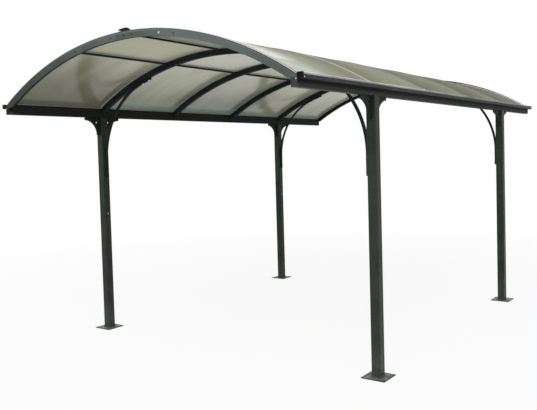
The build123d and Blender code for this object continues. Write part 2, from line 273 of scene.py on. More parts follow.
# Radii at which the cap strip and the painted highlight line under it begin and end on an end arch's face
PAINTED_HIGHLIGHT_FOOT = (EDGE_RADIUS - 0.019, EDGE_RADIUS - 0.016)
CAP_FOOT = (EDGE_RADIUS - 0.0105, EDGE_RADIUS - 0.0098)
CAP_TOP = (EDGE_RADIUS - 0.0008, EDGE_RADIUS - 0.0002)

CHANNEL_PITCH = 0.0105
RIM_STUB_Y = (2.40, 2.405)


# Materials

def powder_coat(name, colour, gloss, specular, dust=0.0, painted_beam_light_and_shade=False, painted_shade_to_rear=0.0):
    """Satin powder coat: fine orange peel, a cloudy tone and warm streaks. Where asked, it has dust near
    the ground, painted light and shade on the beams, or a painted shade that deepens towards the rear."""
    made, tree, shader, coords = material(name)
    place = coords["Object"]
    tone = clouded(tree, place, 4.5, colour, 0.8, 1.22)
    streak = streaks_of(tree, place, (30.0, 30.0, 1.2))
    tone = mixed(tree, ranged(tree, streak, 0.52, 0.72, 0.0, 0.55), tone, tinted(colour, WARM_TINT))
    if dust:
        near_ground = ranged(tree, axes_of(tree, place)["Z"], 0.0, DUST_HEIGHT, dust, 0.0)
        patchy = times(tree, near_ground, noise(tree, place, 26.0))
        tone = mixed(tree, patchy, tone, rgba(DUST))
    # Painted light and shade on the beams
    if painted_beam_light_and_shade:
        tone = beam_tone(tree, axes_of(tree, place), tone, colour)
    # Painted shade: where asked, the tone darkens towards the rear
    if painted_shade_to_rear:
        painted_shade_rearward = ranged(tree, axes_of(tree, place)["Y"], -1.2, 1.6, 0.0, painted_shade_to_rear)
        tone = mixed(tree, painted_shade_rearward, tone, scaled(colour, 0.2))
    roughness = ranged(tree, noise(tree, place, 60.0), 0.3, 0.7, gloss - 0.06, gloss + 0.1)
    peel = bump(tree, noise(tree, place, 650.0, 2.0), 0.12, 0.0006)
    join(tree, shader, tone, roughness, peel, Specular_IOR_Level=specular)
    return made


def beam_tone(tree, axes, tone, colour):
    """A beam's tone, as painted light and shade: a lighter band low on the outer face under the gutter's
    painted shadow, a lighter inner face, and an outer face that darkens towards the rear.
    """
    across = size_of(tree, axes["X"])
    # Painted light: a lighter band low on the outer face; the dark coat above it stands for the gutter's
    # shadow
    low = ranged(tree, axes["Z"], EAVE_Z + 0.018, EAVE_Z + 0.034, 1.0, 0.0)
    outer = ranged(tree, across, BEAM_OUTER_X - 0.008, BEAM_OUTER_X - 0.004)
    tone = mixed(tree, times(tree, low, outer), tone, rgba(BEAM_PAINTED_LOW_LIGHT))
    # Painted light: a lighter inner face
    inner = ranged(tree, across, BEAM_INNER_X + 0.001, BEAM_INNER_X + 0.003, 1.0, 0.0)
    tone = mixed(tree, inner, tone, scaled(colour, 1.7))
    # Painted shade: the outer face darkens towards the rear
    painted_shade_rearward = times(tree, outer, ranged(tree, axes["Y"], -1.2, 1.2, 0.0, 0.8))
    return mixed(tree, painted_shade_rearward, tone, scaled(colour, 0.5))


def edge_coat(name, colour, cap_colour):
    """The end arches' coat: a darker cap strip with painted shade on its right part, a painted highlight
    line under its ledge, and a face with painted shade to the left, painted light right of the crown and
    olive painted shade at the right foot."""
    made, tree, shader, coords = material(name)
    place = coords["Object"]
    axes = axes_of(tree, place)
    rise = calc(tree, "SUBTRACT", axes["Z"], EDGE_CENTRE_Z)
    squares = plus(tree, calc(tree, "POWER", axes["X"], 2.0), calc(tree, "POWER", rise, 2.0))
    radius = calc(tree, "SQRT", squares)
    tone = clouded(tree, place, 5.0, colour, 0.86, 1.12)
    # Painted shade: the cap strip darkens to the right
    painted_cap_shade = ranged(tree, axes["X"], 0.3, 0.9, 0.0, 0.75)
    cap_tone = mixed(tree, painted_cap_shade, rgba(cap_colour), rgba(ARCH_CAP_PAINTED_SHADE))
    tone = mixed(tree, band(tree, radius, CAP_FOOT, CAP_TOP), tone, cap_tone)
    # Painted highlight: a lighter line under the cap's ledge
    tone = mixed(tree, band(tree, radius, PAINTED_HIGHLIGHT_FOOT, CAP_FOOT), tone, scaled(colour, 1.6))
    # Painted shade: the face darkens to the left
    painted_shade_to_left = ranged(tree, axes["X"], -1.45, 0.1, 0.9, 0.0)
    tone = mixed(tree, painted_shade_to_left, tone, tinted(colour, ARCH_LEFT_PAINTED_SHADE))
    # Painted light: the face is lightest right of the crown
    painted_light_right_of_crown = band(tree, axes["X"], (0.1, 0.5), (0.6, 1.1), rest=0.4)
    tone = mixed(tree, painted_light_right_of_crown, tone, scaled(colour, 1.3))
    # Painted shade: olive and darker at the right foot
    painted_foot_shade = ranged(tree, axes["X"], 1.05, 1.4, 0.0, 0.5)
    tone = mixed(tree, painted_foot_shade, tone, tinted(colour, ARCH_FOOT_PAINTED_SHADE))
    roughness = ranged(tree, noise(tree, place, 50.0), 0.3, 0.7, 0.3, 0.42)
    peel = bump(tree, noise(tree, place, 600.0, 2.0), 0.1, 0.0006)
    join(tree, shader, tone, roughness, peel, Specular_IOR_Level=0.05)
    return made


def roof_sheet(name, dark, light, outer_dark, outer_light, gloss, outer_gloss):
    """Translucent bronze sheet with fine channels along the arc, streaks and clouds. Below it is glossy and
    duller towards the crown, with painted light growing past the front bay, towards the rear and towards
    the crown, painted shade along the ribs, a painted cool shade at the feet and a painted pale crown
    behind the first rib. Above it is matt and olive, with painted light on the front bays, painted shade
    towards the rear, and a painted, streaked sky sheen on the front bay, which is glossier there."""
    made, tree, shader, coords = material(name)
    place = coords["Object"]
    bay = axes_of(tree, coords["Generated"])
    axes = axes_of(tree, place)
    streak = calc(tree, "SUBTRACT", streaks_of(tree, place, (0.7, 9.0, 0.7), 5.0), 0.5)
    cloud = calc(tree, "SUBTRACT", noise(tree, place, 1.6, 3.0), 0.5)
    wave = calc(tree, "SINE", times(tree, axes["Y"], 2 * pi / CHANNEL_PITCH))
    mottle = plus(tree, times(tree, streak, 0.35), times(tree, cloud, 0.35), times(tree, wave, 0.03))

    # Painted light and shade below, added to the random tone: lighter past the front bay, towards the rear
    # and towards the crown, lighter still at the crown away from the ribs, and darker along the ribs
    painted_light_past_front = ranged(tree, axes["Y"], -2.3, -1.3, -0.02, 0.22)
    painted_light_to_rear = ranged(tree, axes["Y"], 0.2, 1.8, 0.0, 0.25)
    painted_light_to_crown = ranged(tree, bay["Z"], 0.05, 0.95, 0.0, 0.54)
    past_ridge = ranged(tree, axes["X"], 0.06, 0.11, 1.0, 0.25)
    crown = times(tree, ranged(tree, bay["Z"], 0.8, 0.98), past_ridge)
    painted_crown_light_by_rib = times(tree, crown, ranged(tree, bay["Y"], 0.72, 1.0, 0.35, -0.1))
    painted_shade_by_rib = ranged(tree, bay["Y"], 0.62, 1.0, 0.0, -0.14)
    below = plus(tree, mottle, painted_light_past_front, painted_light_to_rear, painted_light_to_crown, painted_crown_light_by_rib, painted_shade_by_rib)
    under_tone = mixed(tree, ranged(tree, below, 0.0, 1.0), rgba(dark), rgba(light))
    behind_first = ranged(tree, axes["Y"], -1.5, -1.46)
    # Painted shade: a cool tint at the feet behind the first rib
    cool = times(tree, behind_first, ranged(tree, bay["Z"], 0.08, 0.32, 0.48, 0.06))
    under_tone = mixed(tree, cool, under_tone, rgba(SHEET_PAINTED_COOL_SHADE))
    # Painted light: a pale crown behind the first rib
    pale = times(tree, times(tree, behind_first, crown), 0.85)
    under_tone = mixed(tree, pale, under_tone, rgba(SHEET_PAINTED_CROWN_LIGHT))

    # Painted light and shade above: lighter on the front bays, darker towards the rear, and lighter across
    # each bay behind the first rib
    painted_front_light = ranged(tree, axes["Y"], -2.5, -1.5, 1.05, 0.5)
    painted_rear_shade_above = ranged(tree, axes["Y"], -1.5, 1.5, 0.0, -0.3)
    past_first = ranged(tree, axes["Y"], -1.55, -1.45)
    painted_light_across_bay = times(tree, past_first, ranged(tree, bay["Y"], 0.0, 0.95, -0.05, 0.33))
    above = plus(tree, mottle, painted_front_light, painted_rear_shade_above, painted_light_across_bay)
    over_tone = mixed(tree, ranged(tree, above, 0.0, 1.0), rgba(outer_dark), rgba(outer_light))
    runs = ranged(tree, streaks_of(tree, place, (3.5, 0.7, 3.5), 3.0), 0.42, 0.6, 0.55, 1.0)
    # Painted reflection: a pale, streaked sky sheen near the front edge
    painted_sheen_share = times(tree, ranged(tree, axes["Y"], -2.36, -1.95, 0.95, 0.0), runs)
    over_tone = mixed(tree, painted_sheen_share, over_tone, rgba(SHEET_PAINTED_SKY_SHEEN))

    outside = ranged(tree, true_normal(tree)["Z"], -0.1, 0.1)
    tone = mixed(tree, outside, under_tone, over_tone)
    under_gloss = ranged(tree, crown, 0.0, 0.9, gloss, 0.5)
    sheen = times(tree, ranged(tree, axes["Y"], -2.4, -1.9, 1.0, 0.0), runs)
    over_gloss = ranged(tree, sheen, 0.0, 1.0, outer_gloss, 0.2)
    roughness = ranged(tree, outside, 0.0, 1.0, under_gloss, over_gloss)
    channels = bump(tree, times(tree, wave, 0.5), 0.05, 0.0008)
    join(tree, shader, tone, roughness, channels,
         Transmission_Weight=0.2, IOR=1.45, Specular_IOR_Level=0.23)
    return made


def block_coat(name, colour, painted_side_shade):
    """The end blocks' coat: light on the end faces to the right, with painted shade on the end faces to the
    left and on the sides, and painted light low down on the sides."""
    made, tree, shader, coords = material(name)
    place = coords["Object"]
    axes = axes_of(tree, place)
    tone = clouded(tree, place, 40.0, colour, 0.8, 1.2)
    # Painted shade: the end faces darken to the left
    painted_shade_to_left = ranged(tree, axes["X"], -1.0, 1.0, 1.0, 0.0)
    tone = mixed(tree, painted_shade_to_left, tone, rgba(painted_side_shade))
    # Painted shade on the sides, with painted light low down on them
    painted_shade_on_sides = ranged(tree, size_of(tree, true_normal(tree)["Y"]), 0.3, 0.7, 1.0, 0.0)
    low = ranged(tree, axes["Z"], EAVE_Z + 0.014, EAVE_Z + 0.034, 1.0, 0.0)
    flank = mixed(tree, low, rgba(painted_side_shade), scaled(painted_side_shade, 4.0))
    tone = mixed(tree, painted_shade_on_sides, tone, flank)
    roughness = ranged(tree, noise(tree, place, 60.0), 0.3, 0.7, 0.4, 0.55)
    peel = bump(tree, noise(tree, place, 600.0, 2.0), 0.12, 0.0006)
    join(tree, shader, tone, roughness, peel, Specular_IOR_Level=0.03)
    return made


def rim_metal(name, bright, body, dull):
    """The gutters' folded lips: a painted highlight along the top and grey below, both dulling towards the
    rear as painted shade, where they end in a black stub."""
    made, tree, shader, coords = material(name)
    place = coords["Object"]
    axes = axes_of(tree, place)
    on_top = ranged(tree, axes["Z"], GUTTER_HIGH.z - 0.006, GUTTER_HIGH.z - 0.004)
    painted_highlight_fade = ranged(tree, axes["Y"], -1.6, 0.8, 1.0, 0.3)
    patch = ranged(tree, streaks_of(tree, place, (30.0, 3.0, 30.0)), 0.35, 0.65, 0.6, 1.0)
    # Painted highlight: the top of the lip is bright
    tone = mixed(tree, on_top, rgba(body), rgba(bright))
    # Painted shade: the lip dulls towards the rear, in patches
    tone = mixed(tree, times(tree, painted_highlight_fade, patch), rgba(dull), tone)
    tone = mixed(tree, ranged(tree, axes["Y"], *RIM_STUB_Y), tone, rgba(RIM_STUB))
    roughness = ranged(tree, patch, 0.6, 1.0, 0.5, 0.36)
    dents = bump(tree, patch, 0.06, 0.0004)
    join(tree, shader, tone, roughness, dents, Metallic=0.3, Specular_IOR_Level=0.3)
    return made


def plate_finish(name):
    """Dull zinc under thin paint: grey green mottling, pale spots, and darker borders."""
    made, tree, shader, coords = material(name)
    place = coords["Object"]
    box = axes_of(tree, coords["Generated"])
    off_x, off_y = (size_of(tree, calc(tree, "SUBTRACT", box[axis], 0.5)) for axis in "XY")
    border = ranged(tree, calc(tree, "MAXIMUM", off_x, off_y), 0.43, 0.455, 0.0, 0.85)
    mottle = ranged(tree, noise(tree, place, 24.0, 6.0), 0.3, 0.7)
    tone = mixed(tree, mottle, rgba(PLATE_DARK), rgba(PLATE_LIGHT))
    spots = ranged(tree, noise(tree, place, 70.0, 3.0), 0.62, 0.7, 0.0, 0.7)
    tone = mixed(tree, spots, tone, rgba(PLATE_SPOTS))
    tone = mixed(tree, border, tone, rgba(PLATE_BORDER))
    roughness = ranged(tree, mottle, 0.0, 1.0, 0.6, 0.4)
    grain = bump(tree, noise(tree, place, 180.0, 5.0), 0.25, 0.001)
    join(tree, shader, tone, roughness, grain, Metallic=0.25, Specular_IOR_Level=0.3)
    return made


def bare_metal(name, colour, gloss, streaks):
    """Zinc or aluminium: fine drawn lines and dull patches."""
    made, tree, shader, coords = material(name)
    place = coords["Object"]
    line = streaks_of(tree, place, streaks, 3.0)
    patch = ranged(tree, noise(tree, place, 35.0), 0.3, 0.7)
    tone = mixed(tree, patch, scaled(colour, 0.78), rgba(colour))
    roughness = ranged(tree, line, 0.3, 0.7, gloss - 0.08, gloss + 0.12)
    join(tree, shader, tone, roughness, bump(tree, line, 0.08, 0.0004), Metallic=0.9)
    return made


def moulded(name, colour, gloss, specular):
    """Moulded plastic or rubber: a fine grain and a little bloom."""
    made, tree, shader, coords = material(name)
    place = coords["Object"]
    bloom = ranged(tree, noise(tree, place, 14.0), 0.4, 0.75, 0.0, 0.5)
    tone = mixed(tree, bloom, rgba(colour), scaled(colour, 1.5))
    roughness = ranged(tree, bloom, 0.0, 0.5, gloss, gloss + 0.12)
    grain = bump(tree, noise(tree, place, 900.0, 2.0), 0.2, 0.0004)
    join(tree, shader, tone, roughness, grain, Specular_IOR_Level=specular)
    return made


# Directions of the fine lines in bare metal, as factors on each axis: along the arc, along Y, or none
DRAWN_ALONG_ARC = (4.0, 220.0, 4.0)
DRAWN_ALONG_Y = (220.0, 4.0, 220.0)
NOT_DRAWN = (90.0, 90.0, 90.0)

# The frame is one powder coat; its coats below are copies of it made darker or lighter as painted light and
# shade: darkest under the roof on ribs, rails, purlins and beams, lighter on the end arches, their caps,
# the end blocks and the gutters where the sky falls, and in between on posts, braces and gussets
FINISH = {
    "post": powder_coat("post_coat", (0.0245, 0.0315, 0.026), gloss=0.42, specular=0.14, dust=0.4),
    "brace": powder_coat("brace_coat", (0.0175, 0.0225, 0.0205), gloss=0.5, specular=0.06),
    "gusset": powder_coat("gusset_coat", (0.0185, 0.023, 0.0195), gloss=0.5, specular=0.06),
    "frame": powder_coat("frame_coat", (0.018, 0.0255, 0.0245), gloss=0.6, specular=0.03),
    "beam": powder_coat("beam_coat", (0.0115, 0.013, 0.011), gloss=0.5, specular=0.05, painted_beam_light_and_shade=True),
    "gutter": powder_coat("gutter_coat", (0.03, 0.037, 0.034), gloss=0.45, specular=0.1, painted_shade_to_rear=0.85),
    "arch": edge_coat("arch_coat", (0.092, 0.115, 0.107), cap_colour=(0.075, 0.092, 0.089)),
    "arch_cap": powder_coat("arch_cap_coat", (0.05, 0.062, 0.06), gloss=0.4, specular=0.15),
    "block": block_coat("block_coat", (0.047, 0.056, 0.047), painted_side_shade=(0.0105, 0.0125, 0.011)),
    "sheet": roof_sheet("bronze_sheet", dark=(0.18, 0.186, 0.118), light=(0.65, 0.655, 0.475),
                        outer_dark=(0.158, 0.161, 0.092), outer_light=(0.46, 0.472, 0.36),
                        gloss=0.15, outer_gloss=0.9),
    # Painted glint: the first joint bar is bright and the others dull, though all are one metal
    "bar": bare_metal("joint_bar", (0.6, 0.61, 0.58), gloss=0.4, streaks=DRAWN_ALONG_ARC),
    "dull_bar": bare_metal("dull_joint_bar", (0.37, 0.375, 0.33), gloss=0.5, streaks=DRAWN_ALONG_ARC),
    "plate": plate_finish("plate_zinc"),
    "dull_zinc": bare_metal("dull_zinc", (0.4, 0.41, 0.4), gloss=0.45, streaks=NOT_DRAWN),
    "zinc": bare_metal("bright_zinc", (0.78, 0.8, 0.8), gloss=0.3, streaks=NOT_DRAWN),
    "trim": bare_metal("mill_aluminium", (0.82, 0.84, 0.84), gloss=0.28, streaks=DRAWN_ALONG_Y),
    "bead": bare_metal("bright_bead", (0.7, 0.72, 0.71), gloss=0.4, streaks=DRAWN_ALONG_Y),
    "rim": rim_metal("folded_lip", bright=(0.8, 0.83, 0.8), body=(0.36, 0.385, 0.365),
                     dull=(0.06, 0.07, 0.065)),
    "black": moulded("black_plastic", (0.004, 0.004, 0.004), gloss=0.5, specular=0.08),
    "seal": moulded("grey_seal", (0.3, 0.32, 0.3), gloss=0.6, specular=0.3),
    "beam_bead": moulded("beam_bead", (0.22, 0.235, 0.22), gloss=0.6, specular=0.2),
}

# The first of these that starts a node's name gives the node its finish
NODE_FINISH = (
    ("post_", "post"), ("base_plate_", "plate"), ("eave_beam_", "beam"), ("beam_end_blocks_", "block"),
    ("gutter_end_caps_", "black"), ("gutter_", "gutter"), ("rib_", "frame"), ("purlin_", "frame"),
    # Painted glint on the first joint bar, which takes the bright metal
    ("glazing_bar_1", "bar"), ("glazing_bar_", "dull_bar"), ("roof_panel_", "sheet"),
    ("brace_", "brace"), ("gussets_", "gusset"), ("front_arch", "arch"), ("rear_arch", "arch"),
    ("ridge_caps", "black"), ("front_edge_rail", "frame"), ("rear_edge_rail", "frame"),
)
for name, part in nodes.items():
    finish_name = next(finish for prefix, finish in NODE_FINISH if name.startswith(prefix))
    part.data.materials.clear()
    part.data.materials.append(FINISH[finish_name])


# Mesh helpers

def new_piece(name, bm, finish, sharp_degrees=40.0):
    """Makes a piece from a bmesh, gives it its finish and sets it on the root body."""
    bmesh.ops.recalc_face_normals(bm, faces=bm.faces)
    mesh = bpy.data.meshes.new(name)
    bm.to_mesh(mesh)
    bm.free()
    mesh.shade_smooth()
    mesh.set_sharp_from_angle(angle=radians(sharp_degrees))
    mesh.materials.append(FINISH[finish])
    piece = bpy.data.objects.new(name, mesh)
    bpy.context.scene.collection.objects.link(piece)
    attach(piece, "root")
    return piece


def add_rings(bm, rings, closed_ends=True):
    """Joins rings of points into a skin, with a face on each end."""
    made = [[bm.verts.new(point) for point in ring] for ring in rings]
    for near, far in zip(made, made[1:]):
        for i in range(len(near)):
            j = (i + 1) % len(near)
            bm.faces.new((near[i], near[j], far[j], far[i]))
    if closed_ends:
        bm.faces.new(made[0])
        bm.faces.new(reversed(made[-1]))


def add_turned(bm, profile, place, segments):
    """Turns a profile of (radius, height) points about the local Z axis of a placed matrix."""
    turns = [2 * pi * i / segments for i in range(segments)]
    add_rings(bm, [[place @ Vector((radius * cos(a), radius * sin(a), height)) for a in turns]
                   for radius, height in profile])


def facing(point, direction):
    """A matrix at a point whose Z axis looks along a direction."""
    return Matrix.Translation(point) @ Vector(direction).to_track_quat("Z", "Y").to_matrix().to_4x4()


def add_arc_band(bm, outline, centre_z, low_angle, high_angle, steps):
    """Sweeps an outline of (y, radius) points along an arc of the roof."""
    rings = []
    for i in range(steps + 1):
        angle = low_angle + (high_angle - low_angle) * i / steps
        rings.append([on_arc(centre_z, radius, angle, y) for y, radius in outline])
    add_rings(bm, rings)


def on_arc(centre_z, radius, angle, y):
    """A point on an arc of the roof."""
    return Vector((radius * sin(angle), y, centre_z + radius * cos(angle)))


def add_y_bar(bm, outline, y_low, y_high, angle=0.0, centre_z=0.0):
    """Runs an outline of (x, z) points along Y, turned about a level axis."""
    up, down = (Matrix.Translation((0, 0, shift)) for shift in (centre_z, -centre_z))
    turn = up @ Matrix.Rotation(angle, 4, "Y") @ down
    add_rings(bm, [[turn @ Vector((x, y, z)) for x, z in outline] for y in (y_low, y_high)])


def rectangle(low_a, high_a, low_b, high_b):
    """The corners of a rectangle in an outline."""
    return [(low_a, low_b), (high_a, low_b), (high_a, high_b), (low_a, high_b)]


def rounded_square(half, corner, steps=8):
    """The points of a square with round corners, about its middle."""
    points = []
    for quarter in range(4):
        sign_x = 1 if quarter in (0, 3) else -1
        sign_y = 1 if quarter in (0, 1) else -1
        for i in range(steps + 1):
            angle = pi / 2 * (quarter + i / steps)
            points.append((sign_x * (half - corner) + corner * cos(angle),
                           sign_y * (half - corner) + corner * sin(angle)))
    return points


def soften(piece, width, segments=2):
    """Rounds a piece's hard edges."""
    bevel = piece.modifiers.new("soft_edges", "BEVEL")
    bevel.width = width
    bevel.segments = segments
    bevel.limit_method = "ANGLE"
    bevel.harden_normals = True


# Screws and bolts: thicknesses and heights are shares of the head's radius, and a form's points are
# (out, up) as shares of that radius and that height
SCREW_WASHER_THICKNESS, SCREW_WASHER_SEGMENTS = 0.22, 24
BUTTON_HEIGHT, BUTTON_SEGMENTS = 0.62, 18
BUTTON_FORM = ((1.0, 0.0), (1.0, 0.28), (0.92, 0.62), (0.72, 0.9), (0.46, 1.0), (0.42, 0.96), (0.4, 0.5))
BOLT_WASHER_THICKNESS, BOLT_WASHER_SEGMENTS = 0.25, 28
BOLT_WASHER_FORM = ((1.5, 0.0), (1.5, 0.7), (1.42, 1.0), (0.6, 1.0))
HEX_HEIGHT, HEX_CHAMFER, HEX_TOP, HEX_SIDES = 0.7, 0.12, 0.82, 6


def add_screw(bm, point, direction, radius, washer=0.0):
    """A button-head screw with a socket, on a washer where one is given."""
    place = facing(point, direction)
    base = 0.0
    if washer:
        base = radius * SCREW_WASHER_THICKNESS
        rim = [(washer, 0.0), (washer, base * 0.6), (washer * 0.94, base), (radius * 0.5, base)]
        add_turned(bm, rim, place, SCREW_WASHER_SEGMENTS)
    height = radius * BUTTON_HEIGHT
    head = [(radius * out, base + height * up) for out, up in BUTTON_FORM]
    add_turned(bm, head, place, BUTTON_SEGMENTS)


def add_hex_bolt(bm, point, direction, radius):
    """A hexagon bolt head with a chamfered top, on a washer."""
    place = facing(point, direction)
    thick = radius * BOLT_WASHER_THICKNESS
    washer = [(radius * out, thick * up) for out, up in BOLT_WASHER_FORM]
    add_turned(bm, washer, place, BOLT_WASHER_SEGMENTS)
    top = thick + radius * HEX_HEIGHT
    head = [(radius, thick), (radius, top - radius * HEX_CHAMFER), (radius * HEX_TOP, top)]
    add_turned(bm, head, place, HEX_SIDES)


# Seals between the frame and the sheets
SEAL_THICKNESS = 0.002
RIB_SEAL_WIDTH = 0.024
PURLIN_HALF_WIDTH = 0.008
PURLIN_SEAL_WIDTH = 0.012
PURLIN_SEAL_DEPTH = 0.007
BEAM_BEAD_DEPTH = 0.008
BEAM_BEAD_PROUD = 0.0015
BEAM_BEAD_THICKNESS = SEAL_THICKNESS * 1.5
BEAM_LIP_DEPTH = 0.009
RIB_FOOT_ANGLE = asin((BEAM_INNER_X - SEAL_THICKNESS) / RIB_TOP_RADIUS)


def rib_seals():
    """Flat grey gaskets under the sheets, along both sides of each rib."""
    for number, place in enumerate(RIB_PLACES, start=1):
        bm = bmesh.new()
        for side in SIDES:
            inner = place + side * RIB_HALF
            outer = inner + side * RIB_SEAL_WIDTH
            outline = rectangle(inner, outer, RIB_TOP_RADIUS - SEAL_THICKNESS, RIB_TOP_RADIUS)
            add_arc_band(bm, outline, SHEET_CENTRE_Z, -RIB_FOOT_ANGLE, RIB_FOOT_ANGLE, ARC_STEPS)
        new_piece(f"rib_seal_{number}", bm, "seal")


def bays(margin):
    """The clear stretches along Y between rails and ribs, as (low, high)."""
    lows = [-RAIL_BACK_Y] + [place + RIB_HALF for place in RIB_PLACES]
    highs = [place - RIB_HALF for place in RIB_PLACES] + [RAIL_BACK_Y]
    return [(low + margin, high - margin) for low, high in zip(lows, highs)]


def purlin_seals():
    """Grey gaskets along both upper edges of each batten."""
    top = SHEET_CENTRE_Z + RIB_TOP_RADIUS
    for name, angle in zip(PURLIN_NAMES, PURLIN_ANGLES):
        bm = bmesh.new()
        for y_low, y_high in bays(RIB_SEAL_WIDTH):
            for side in SIDES:
                low_x = side * PURLIN_HALF_WIDTH
                outline = [(low_x, top), (low_x, top - PURLIN_SEAL_DEPTH),
                           (low_x + side * SEAL_THICKNESS, top - PURLIN_SEAL_DEPTH),
                           (low_x + side * PURLIN_SEAL_WIDTH, top - SEAL_THICKNESS),
                           (low_x + side * PURLIN_SEAL_WIDTH, top)]
                add_y_bar(bm, outline, y_low, y_high, angle, SHEET_CENTRE_Z)
        new_piece(f"purlin_seal_{name}", bm, "seal")


def beam_seals():
    """Black lips along the inner top edges of the beams, between the ribs, with grey beads above them."""
    for name, side in NAMED_SIDES:
        lip, bead = bmesh.new(), bmesh.new()
        x = side * BEAM_INNER_X
        seam = BEAM_INNER_TOP - BEAM_BEAD_DEPTH
        for y_low, y_high in bays(SEAL_THICKNESS):
            outline = rectangle(x - side * SEAL_THICKNESS, x, seam - BEAM_LIP_DEPTH, seam)
            add_y_bar(lip, outline, y_low, y_high)
            outline = rectangle(x - side * BEAM_BEAD_THICKNESS, x, seam, BEAM_INNER_TOP + BEAM_BEAD_PROUD)
            add_y_bar(bead, outline, y_low, y_high)
        new_piece(f"beam_seal_{name}", lip, "black")
        new_piece(f"beam_bead_{name}", bead, "beam_bead")


rib_seals()
purlin_seals()
beam_seals()

# Trims along the edges of sheets, gutters and end arches
TRIM_LAP = 0.011
TRIM_SKIN = 0.0014
TRIM_STEPS = 3
SHEET_DRIP = 0.008
SHEET_EDGE_ANGLE = asin((BEAM_OUTER_X + SHEET_DRIP) / SHEET_RADIUS)
EDGE_COVER_WIDTH = 0.012
EDGE_COVER_TOP_WIDTH = EDGE_COVER_WIDTH * 0.9
EDGE_COVER_THICKNESS = 0.003
RIM_RADIUS = 0.0025
RIM_HEIGHT = 0.015
RIM_END_GAP = 0.004
RIM_STEPS = 8
ARCH_TRIM_FOOT_GAP = 0.006
ARCH_TRIM_CAP_GAP = 0.001
ARCH_TRIM_DEPTH = 0.0035
ARCH_TRIM_PROUD = 0.0004
ARCH_BEAD_SETBACK = 0.0008
ARCH_SEAM_SETBACK = 0.0045
ARCH_CAP_LAP = 0.010


def eave_trims():
    """Folded metal edgings on the lower edges of the sheets, over the gutters."""
    inner, outer = SHEET_RADIUS - TRIM_SKIN, SHEET_RADIUS + SHEET_THICKNESS + TRIM_SKIN
    start = SHEET_EDGE_ANGLE - TRIM_LAP / SHEET_RADIUS
    end = SHEET_EDGE_ANGLE + TRIM_SKIN / SHEET_RADIUS
    for name, side in NAMED_SIDES:
        bm = bmesh.new()
        for low, high in PANEL_BOXES:
            outline = rectangle(low.y, high.y, inner, outer)
            add_arc_band(bm, outline, SHEET_CENTRE_Z, side * start, side * end, TRIM_STEPS)
        new_piece(f"eave_trim_{name}", bm, "trim")


def edge_covers():
    """Bright cover strips on the sheets' outer edges, behind the end arches."""
    seat = SHEET_RADIUS + SHEET_THICKNESS
    top = seat + EDGE_COVER_THICKNESS
    reach = asin(BEAM_OUTER_X / SHEET_RADIUS)
    for name, end in NAMED_ENDS:
        bm = bmesh.new()
        near = end * ARCH_BACK_Y
        outline = [(near, seat), (near, top), (near - end * EDGE_COVER_TOP_WIDTH, top),
                   (near - end * EDGE_COVER_WIDTH, seat)]
        add_arc_band(bm, outline, SHEET_CENTRE_Z, -reach, reach, ARC_STEPS)
        new_piece(f"edge_cover_{name}", bm, "bead")


def gutter_rims():
    """Folded lips along the gutters' outer walls, round at the top and the bottom."""
    middle_x = GUTTER_HIGH.x + RIM_RADIUS * 0.2
    upper_z = GUTTER_HIGH.z - RIM_RADIUS
    lower_z = GUTTER_HIGH.z - RIM_HEIGHT + RIM_RADIUS
    for name, side in NAMED_SIDES:
        bm = bmesh.new()
        outline = []
        for middle_z, start in ((upper_z, 0.0), (lower_z, pi)):
            for i in range(RIM_STEPS + 1):
                angle = start + pi * i / RIM_STEPS
                x = middle_x + RIM_RADIUS * cos(angle)
                outline.append((side * x, middle_z + RIM_RADIUS * sin(angle)))
        add_y_bar(bm, outline, GUTTER_LOW.y + RIM_END_GAP, GUTTER_HIGH.y - RIM_END_GAP)
        new_piece(f"gutter_rim_{name}", bm, "rim", sharp_degrees=50.0)


def arch_trims():
    """A painted capping over the top of each end arch, with a bright bead along its outer edge."""
    reach = asin((BEAM_OUTER_X - ARCH_TRIM_FOOT_GAP) / EDGE_RADIUS)
    gap = asin((RIDGE_CAP_HALF + ARCH_TRIM_CAP_GAP) / EDGE_RADIUS)
    under, over = EDGE_RADIUS - ARCH_TRIM_DEPTH, EDGE_RADIUS + ARCH_TRIM_PROUD
    face, seam = ARCH_FACE_Y - ARCH_BEAD_SETBACK, ARCH_FACE_Y - ARCH_SEAM_SETBACK
    back = ARCH_BACK_Y - ARCH_CAP_LAP
    strips = (("cap", seam, back, "arch_cap", "edge_paint"), ("bead", face, seam, "bead", "bright_metal"))
    for name, end in NAMED_ENDS:
        for strip, outer, inner, finish, slot in strips:
            bm = bmesh.new()
            outline = rectangle(end * outer, end * inner, under, over)
            for side in SIDES:
                add_arc_band(bm, outline, EDGE_CENTRE_Z, side * gap, side * reach, ARC_STEPS // 2)
            new_piece(f"arch_{strip}_{name}", bm, finish)


eave_trims()
edge_covers()
gutter_rims()
arch_trims()

# Fasteners on the roof
BAR_SCREW_ANGLES = [radians(a) for a in (-31.2, 0.0, 31.2)]
BAR_SCREW_RADIUS = 0.006
BAR_WASHER_RADIUS = BAR_SCREW_RADIUS * 1.7
PAINTED_SCREW_X = (-0.546, -0.140, -0.061, -0.002, 0.084, 0.487)
LONE_SCREW_X = 0.351
ARCH_SCREW_BELOW_TOP = 0.034
ARCH_SCREW_RADIUS = 0.0055
LONE_SCREW_RADIUS = ARCH_SCREW_RADIUS * 1.4
SMALL_SCREW_RADIUS = 0.004
BLOCK_SCREW_X = 1.470
BLOCK_SCREW_Z = EAVE_Z + 0.050
CAP_SCREW_Z = EAVE_Z + 0.057
GUTTER_SCREW_Y = GUTTER_HIGH.y - 0.012


